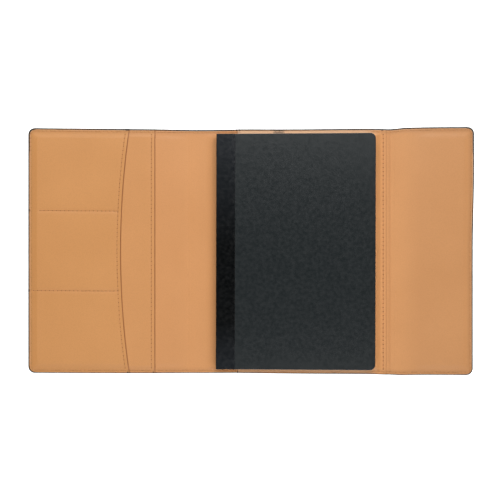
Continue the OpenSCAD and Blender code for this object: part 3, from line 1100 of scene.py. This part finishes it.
def z_outer(x, y):
    """The outer leather's inner side, with the bead of edge paint that hides the layers' edges."""
    bead = 1 - ramp(edge_dist(x, y), BEAD - 0.03, BEAD + 0.03)
    return Z_OUTER + (rim_top(x) - 0.1 - Z_OUTER) * bead


def outer_bottom(x, y):
    """The underside, with a shallow line pressed in at each crease."""
    return 0.12 * sum(bump(x, c, 0.9) for c in CREASES)


def lining_bottom(x, y):
    return np.maximum(z_lining(x, y) - LINING_T, Z_OUTER)


def under_thread_z(x, y):
    return 0 * x + THREAD_R + 0.02


def in_span(row, x0, x1):
    """The row with only the holes between x0 and x1."""
    made = Row.__new__(Row)
    made.__dict__.update(row.__dict__)
    made.holes = row.holes[(row.holes[:, 0] > x0) & (row.holes[:, 0] < x1)]
    return made


for span, xa, xb, left, right in SPANS:
    ring = Ring(xa, xb, left, right, inset=LIP, offsets=OFFSETS)
    shown = [in_span(edge_row, max(xa - 2, X_SLEEVE_MOUTH - 1), xb + 2)]
    if span == "back":
        shown.append(seam_row)
    o = sheet_mesh(
        "lining_skin_" + span, ring, lambda x, y: edge_dist(x, y) - LIP, z_lining, lining_bottom, mat_tan,
        fine=[(columns(mouth_cols, 112, 1.6), 0.2), (slopes_between(xa, xb), 0.35)],
        rows=shown, cols=crease_cols, edge_r=0.26, stain=stain_lining, zone=zone_shade,
    )
    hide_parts(*stands("lining", span))
    bend(o)

    ring = Ring(xa, xb, left, right, offsets=OUTER_OFFSETS)
    o = sheet_mesh(
        "outer_skin_" + span, ring, edge_dist, z_outer, outer_bottom, mat_black, cols=crease_cols,
        under_rows=[in_span(under_row, xa - 2, xb + 2)], edge_r=0.24, nudge=(0, 0),
    )
    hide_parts(*stands("outer", span))
    bend(o)

    def here(x, y, xa=xa, xb=xb):
        return xa <= x < xb

    o = stitches("edge_thread_" + span, [edge_row], z_top, mat_thread, 1, here)
    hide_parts(*stands("edge_stitches", span))
    bend(o)
    o = stitches("under_thread_" + span, [under_row], under_thread_z, mat_black_thread, -1, here, (0, 0))
    bend(o)

# ---------------------------------------------------------------- pockets


def straight(x):
    """A straight mouth at x, for a Ring's end."""
    return lambda y: x + 0 * y


def sleeve_inside(x, y):
    return np.minimum(edge_dist(x, y) - LIP, X_SLEEVE_MOUTH - x)


def card_inside(x, y):
    return np.minimum(edge_dist(x, y) - LIP, card_mouth(y) - x)


def back_inside(x, y):
    return np.minimum(np.minimum(half_h(x) - np.abs(y) - LIP, x - X_BACK_MOUTH), X_TAB - x)


POCKET_OFFSETS = (0.05, 0.12, 0.22, 0.34, 0.48, 0.66)
mouth_y = np.arange(-H_LEFT + 1, H_LEFT, 1.6)
under_card = np.vstack([np.stack([card_mouth(mouth_y) + k, mouth_y], axis=1) for k in MOUTH_STEPS])
fine_left = slopes_between(X_LEFT, X_SLEEVE_MOUTH)
divider_fine = np.vstack([
    columns(np.arange(X_LEFT + 6, card_mouth(0) - 1, 1.85), 0.01, 1) * [1, 0] + [0, s * DIVIDER_Y + k]
    for s in (-1, 1) for k in (-3.4, -2.6, -1.8, -1.2, 1.2, 1.8, 2.6, 3.4)
])

back_fine = np.vstack([
    slopes_between(X_BACK_MOUTH, X_TAB),
    columns(np.arange(X_SLOPE, X_TAB, 0.6), 110, 2.4),
])


def pocket(name, cad, body, ends, size, inside, z_up, material, held="laid", edge_r=0.26, **details):
    """A sleeve or pocket: ends are those of its ring; size, its width and height in millimetres, is not
    used.
    """
    o = sheet_mesh(
        name, Ring(*ends, inset=LIP, offsets=POCKET_OFFSETS), inside, z_up,
        lambda x, y: z_up(x, y) - SLEEVE_T, material, edge_r=edge_r, **details,
    )
    place(o, "tan_leather", body, cad)


pocket(
    "front_sleeve_leather", "front_sleeve", "front",
    (X_LEFT, X_SLEEVE_MOUTH, "round", straight(X_SLEEVE_MOUTH)), (X_SLEEVE_MOUTH - X_LEFT, 2 * H_LEFT),
    sleeve_inside, z_front_sleeve, mat_sleeve, fine=[(under_card, 0.2), (fine_left, 0.35)],
    rows=[in_span(edge_row, float(card_mouth(H_LEFT)) - 2, X_SLEEVE_MOUTH - 1), sleeve_row],
    stain=stain_front_sleeve,
)
pocket(
    "card_pocket_leather", "card_pocket", "front",
    (X_LEFT, X_CARD_MOUTH_END, "round", card_mouth), (X_CARD_MOUTH_END - X_LEFT, 2 * H_LEFT),
    card_inside, z_card, mat_card, fine=[(fine_left, 0.35), (divider_fine, 0.35)],
    rows=[in_span(edge_row, X_LEFT - 1, X_CARD_MOUTH_END), hem_row, *divider_rows], stain=stain_card,
)
pocket(
    "back_sleeve_leather", "back_sleeve", "back",
    (X_BACK_MOUTH, X_TAB, straight(X_BACK_MOUTH), straight(X_TAB)),
    (X_TAB - X_BACK_MOUTH, 2 * float(half_h(X_TAB))), back_inside, z_back, mat_tan, held="stretched",
    edge_r=0.24, fine=[(back_fine, 0.35)], rows=[in_span(edge_row, X_BACK_MOUTH, X_TAB), back_row, seam_row],
    stain=stain_back, pale=pale_back, zone=sleeve_shade, cols=np.arange(X_SLOPE - 0.5, X_TAB - 0.4, 1.2),
)

for name, rows, z_at, body, cad in (
    ("card_hem_thread", [hem_row], lambda x, y: z_card(x, y) - HEM_DEEPER, "front", "card_hem_stitches"),
    ("card_divider_thread", divider_rows, z_card, "front", "card_divider_stitches"),
    ("front_sleeve_thread", [sleeve_row], z_front_sleeve, "front", "front_sleeve_stitches"),
    ("back_mouth_thread", [back_row], z_back, "back", "back_mouth_stitches"),
    ("back_seam_thread", [seam_row], z_back, "back", "back_seam_stitches"),
):
    place(stitches(name, rows, z_at, mat_thread), "tan_thread", body, cad)


def tacks(name, places, body):
    """Loops of black thread over the cover's edge, where the rows of stitches end."""
    sides = 8
    points, faces = [], []
    for x, y, inward in places:
        n = np.array(inward, float)
        t = np.array([-n[1], n[0]])
        if n[0]:
            edge = np.array([X_LEFT, y])
            top = Z_CARD_RIM
        else:
            edge = np.array([x, -n[1] * half_h(x)])
            top = float(rim_top(np.array(x)))
        path = np.array([
            (1.6, top - 0.25), (1.4, top + 0.04), (0.8, top + 0.1), (0.3, top), (0.04, top - 0.34),
            (0.0, top / 2), (0.05, 0.45), (0.22, 0.26), (0.8, 0.3),
        ])
        along = np.gradient(path, axis=0)
        along /= np.hypot(*along.T)[:, None]
        base = len(points)
        for (d, z), (ad, az) in zip(path, along):
            for j in range(sides):
                a = 2 * math.pi * j / sides
                u, v = 1.5 * THREAD_R * math.cos(a), THREAD_R * math.sin(a)
                q = edge + n * (d - az * v) + t * u
                points.append((q[0], q[1], z + ad * v))
        faces += tube_faces(base, len(path), sides)
    o = new_object(name, points, faces, mat_black_thread, {"tone": rng.uniform(0, 1, len(points))}, (0, 0))
    place(o, "black_leather", body)


card_row_end = float(card_mouth(H_LEFT)) - 1.5
tacks("edge_tacks_front", [
    *((X_LEFT, s * DIVIDER_Y + k, (1, 0)) for s in (-1, 1) for k in (-0.45, 0.45)),
    *((card_row_end + k, H_LEFT, (0, -1)) for k in (-1.4, -0.4, 0.6)), (card_row_end, -H_LEFT, (0, 1)),
    (X_SLEEVE_MOUTH - 1.5, -H_LEFT, (0, 1)),
], "front")
tacks("edge_tacks_back", [
    *((X_BACK_MOUTH + k, H_SPINE, (0, -1)) for k in (-0.9, 1.8)), (X_BACK_MOUTH, -H_SPINE, (0, 1)),
    (X_SEAM - 1.2, H_GUSSET, (0, -1)), (X_SEAM - 0.3, H_GUSSET, (0, -1)),
], "back")

# ---------------------------------------------------------------- the notebook

nb_lo, nb_hi = box("notebook_front_cover")
NB_X0 = box("spine_cloth")[0][0]
NB_X1 = nb_hi[0]
NB_H = nb_hi[1]
NB_R = 5.0
TAPE_X1 = box("spine_cloth_front")[1][0]
Z_TAPE_TOP = box("spine_cloth_front")[1][2]
Z_COVER_TOP = nb_hi[2]
Z_COVER_LOW = nb_lo[2]
Z_HINGE = hinge["notebook_cover_hinge"][2]
NB_BACK = box("notebook_back_cover")


def flat_half(h):
    return lambda x: h + 0 * np.asarray(x, float)


def leaf_inside(x0, x1, h, r):
    def inside(x, y):
        top = h - np.abs(y)
        right = x1 - x
        d = np.minimum(np.minimum(top, right), x - x0)
        corner = (top < r) & (right < r)
        return np.where(corner, r - np.hypot(r - top, r - right), d)
    return inside


def leaf_sheet(name, x0, x1, h, z0, z1, mat, edge_r, wavy=0.0):
    """A cover or an endpaper between two heights, square at the spine and round at its free corners."""
    r = NB_R - (NB_X1 - x1)
    ring = Ring(x0, x1, straight(x0), "round", half=flat_half(h), radius=r,
                offsets=(0.05, 0.12, 0.3, 0.8), long=1.6)
    return sheet_mesh(
        name, ring, leaf_inside(x0, x1, h, r), lambda x, y: z1 + wavy * waves(x, y, 70, 21),
        lambda x, y: z0 + wavy * waves(x, y, 70, 21), mat, spacing=6.0, edge_r=edge_r, nudge=None,
    )


COVER_X0 = nb_lo[0]
for name, cad, body, z0, z1, wavy in (
    ("notebook_cover_front", "notebook_front_cover", "notebook_cover", Z_COVER_LOW, Z_COVER_TOP, 0.03),
    ("notebook_cover_back", "notebook_back_cover", "notebook", NB_BACK[0][2], NB_BACK[1][2], 0.0),
):
    o = leaf_sheet(name, COVER_X0, NB_X1, NB_H, z0, z1, mat_cover, 0.16, wavy)
    place(o, "notebook_card", body, cad)
for name, cad, body in (
    ("endpaper_front", "notebook_front_endpaper", "notebook_cover"),
    ("endpaper_back", "notebook_back_endpaper", "notebook"),
):
    lo, hi = box(cad)
    o = leaf_sheet(name, lo[0], hi[0], hi[1], lo[2], hi[2], mat_paper, 0.03)
    place(o, "paper", body, cad)


RIDGE = 0.22


def page_stack(name, cad, body, seed):
    """A stack of pages: a ridge for each few leaves, so that its edges are layered."""
    lo, hi = box(cad)
    r = np.random.default_rng(seed)
    x0, x1, h = lo[0], hi[0], hi[1]
    rad = NB_R - (NB_X1 - x1)
    ring = Ring(x0, x1, straight(x0), "round", half=flat_half(h), radius=rad, offsets=(), long=5.0)
    base_p, inward = ring.points, ring.inward.copy()
    inward[base_p[:, 0] <= x0 + 1e-6] = 0
    count = round((hi[2] - lo[2]) / RIDGE)
    points = []
    zs = np.linspace(lo[2], hi[2], count + 1)
    for k in range(count):
        back_off = 0.10 + 0.16 * r.uniform() + 0.05 * math.sin(k * 0.7)
        drift = 0.04 * np.sin(base_p[:, 1] / 23 + r.uniform(0, 6))
        drift += 0.03 * np.sin(base_p[:, 0] / 17 + r.uniform(0, 6))
        ridge = ((0.0, 0.12), (0.25, 0.0), (0.75, 0.0), (1.0, 0.12))
        for f, extra in ridge[1:] if k else ridge:
            z = zs[k] + (zs[k + 1] - zs[k]) * f
            points += [(a, b, z) for a, b in base_p + inward * (back_off + extra + drift)[:, None]]
    faces = tube_faces(0, len(points) // len(base_p), len(base_p))
    o = new_object(name, points, faces, [mat_pages, mat_paper], nudge=None, smooth_shading=False)
    for face in o.data.polygons[-2:]:
        face.material_index = 1
    place(o, "paper", body, cad)


page_stack("page_block_leaves", "page_block", "notebook", 31)
page_stack("turned_pages_leaves", "turned_pages", "pages", 32)


def strip(name, outline, y_half, mat):
    """A strip of cloth along Y from its cross-section, a closed outline in X and Z."""
    outline = np.array(outline)
    ys = np.linspace(-y_half, y_half, round(2 * y_half / 3.0) + 1)
    ys = np.concatenate([[ys[0]], [ys[0] + 0.15], ys[1:-1], [ys[-1] - 0.15], [ys[-1]]])
    points = [(x, y, z) for y in ys for x, z in outline]
    faces = tube_faces(0, len(ys), len(outline))
    if area_sign(outline) > 0:
        faces = [f[::-1] for f in faces]
    return new_object(name, points, faces, mat, nudge=None)


def area_sign(outline):
    x, z = outline[:, 0], outline[:, 1]
    return float(np.sum(x * np.roll(z, -1) - np.roll(x, -1) * z))


def arc(cx, cz, r, a0, a1, n):
    return [(cx + r * math.cos(a), cz + r * math.sin(a)) for a in np.radians(np.linspace(a0, a1, n))]


WALL_T = box("spine_cloth")[1][0] - NB_X0
Z_WRAP = Z_HINGE - 1.4
CURVE = 0.5
tape_top = [(x, Z_TAPE_TOP - 0.02) for x in np.linspace(NB_X0 + CURVE, TAPE_X1 - 0.1, 12)]
tape_low = [(x, Z_COVER_TOP) for x in np.linspace(TAPE_X1, COVER_X0 + 0.1, 12)]
front_wrap = (
    [(NB_X0, Z_WRAP), (NB_X0, (Z_WRAP + Z_TAPE_TOP - CURVE) / 2)]
    + arc(NB_X0 + CURVE, Z_TAPE_TOP - 0.02 - CURVE, CURVE, 180, 90, 7)
    + tape_top[1:]
    + [(TAPE_X1, Z_TAPE_TOP - 0.08)]
    + tape_low
    + [(NB_X0 + 0.16, Z_COVER_TOP - 0.25), (NB_X0 + 0.16, Z_COVER_LOW)]
    + [(NB_X0 + WALL_T, Z_HINGE - 0.1), (NB_X0 + WALL_T, Z_WRAP)]
)
o = strip("spine_tape_front", front_wrap, NB_H, mat_tape)
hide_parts("spine_cloth_front")
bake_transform(o)
TAPE_BACK = box("spine_cloth_back")
z_low = TAPE_BACK[0][2]
back_wrap = (
    [(NB_X0, Z_WRAP)]
    + arc(NB_X0 + CURVE, z_low + CURVE, CURVE, 180, 270, 7)
    + [(x, z_low) for x in np.linspace(NB_X0 + CURVE, TAPE_X1, 12)[1:]]
    + [(TAPE_X1, TAPE_BACK[1][2])]
    + [(x, TAPE_BACK[1][2]) for x in np.linspace(TAPE_X1, COVER_X0 + 0.1, 12)[1:]]
    + [(NB_X0 + WALL_T, NB_BACK[0][2] + 0.1), (NB_X0 + WALL_T, Z_WRAP)]
)
o = strip("spine_tape_back", back_wrap, NB_H, mat_tape)
place(o, "spine_tape", "notebook", "spine_cloth", "spine_cloth_back")

# ---------------------------------------------------------------- floor, light and camera


def floor():
    mesh = bpy.data.meshes.new("floor")
    half, below = 6.0, -0.0006
    corners = [(x * half, y * half, below) for x, y in ((-1, -1), (1, -1), (1, 1), (-1, 1))]
    mesh.from_pydata(corners, [], [[0, 1, 2, 3]])
    made = material("pale_floor")
    _, tree, shader = made
    cloud = remap(noise(coords(tree, cad=True), 300, 2.0), 0.3, 0.7, 0, 1)
    m = surface(made, mix(cloud, (0.93, 0.93, 0.93), (0.90, 0.90, 0.90)), 0.8, 0.1)
    shader.inputs["Emission Color"].default_value = (1, 1, 1, 1)
    shader.inputs["Emission Strength"].default_value = 1.0
    mesh.materials.append(m)
    o = bpy.data.objects.new("floor", mesh)
    bpy.context.scene.collection.objects.link(o)


floor()


LIGHTS = (
    ("soft_top", (0.05, 0.76, 1.28), (1.2, 0.6), 18.5),
    ("soft_bottom", (0.05, -0.76, 1.28), (1.2, 0.5), 11.0),
    ("soft_right", (1.1, 0.0, 1.0), (0.6, 1.0), 1.8),
    ("low_top", (0, 1.7, 0.6), (2.0, 0.6), 4),
)
for name, at, size, watts in LIGHTS:
    light = bpy.data.lights.new(name, "AREA")
    light.shape = "RECTANGLE"
    light.size, light.size_y = size
    light.energy = watts
    o = bpy.data.objects.new(name, light)
    o.location = at
    o.rotation_mode = "QUATERNION"
    o.rotation_quaternion = (-Vector(at)).to_track_quat("-Z", "Y")
    bpy.context.scene.collection.objects.link(o)

ROOM_SIDES = 0.34
ROOM_TOP = 0.0
scene = bpy.context.scene
world = bpy.data.worlds.new("soft_room")
scene.world = world
world.use_nodes = True
sky = world.node_tree
background = sky.nodes["Background"]
direction = sky.nodes.new("ShaderNodeTexCoord").outputs["Generated"]
height = after(direction, "ShaderNodeSeparateXYZ", "Vector").outputs["Z"]
sky.links.new(remap(height, 0.55, 1.0, ROOM_SIDES, ROOM_TOP), background.inputs[1])
scene.view_settings.view_transform = "Standard"
scene.view_settings.look = "None"

CAMERA_AT = (-0.00045, 0.0012, 0.902)
LENS = 71.9
cam = bpy.data.cameras.new("camera")
cam.sensor_width = 36
cam.lens = LENS
camera = bpy.data.objects.new("camera", cam)
camera.location = CAMERA_AT
scene.collection.objects.link(camera)
scene.camera = camera
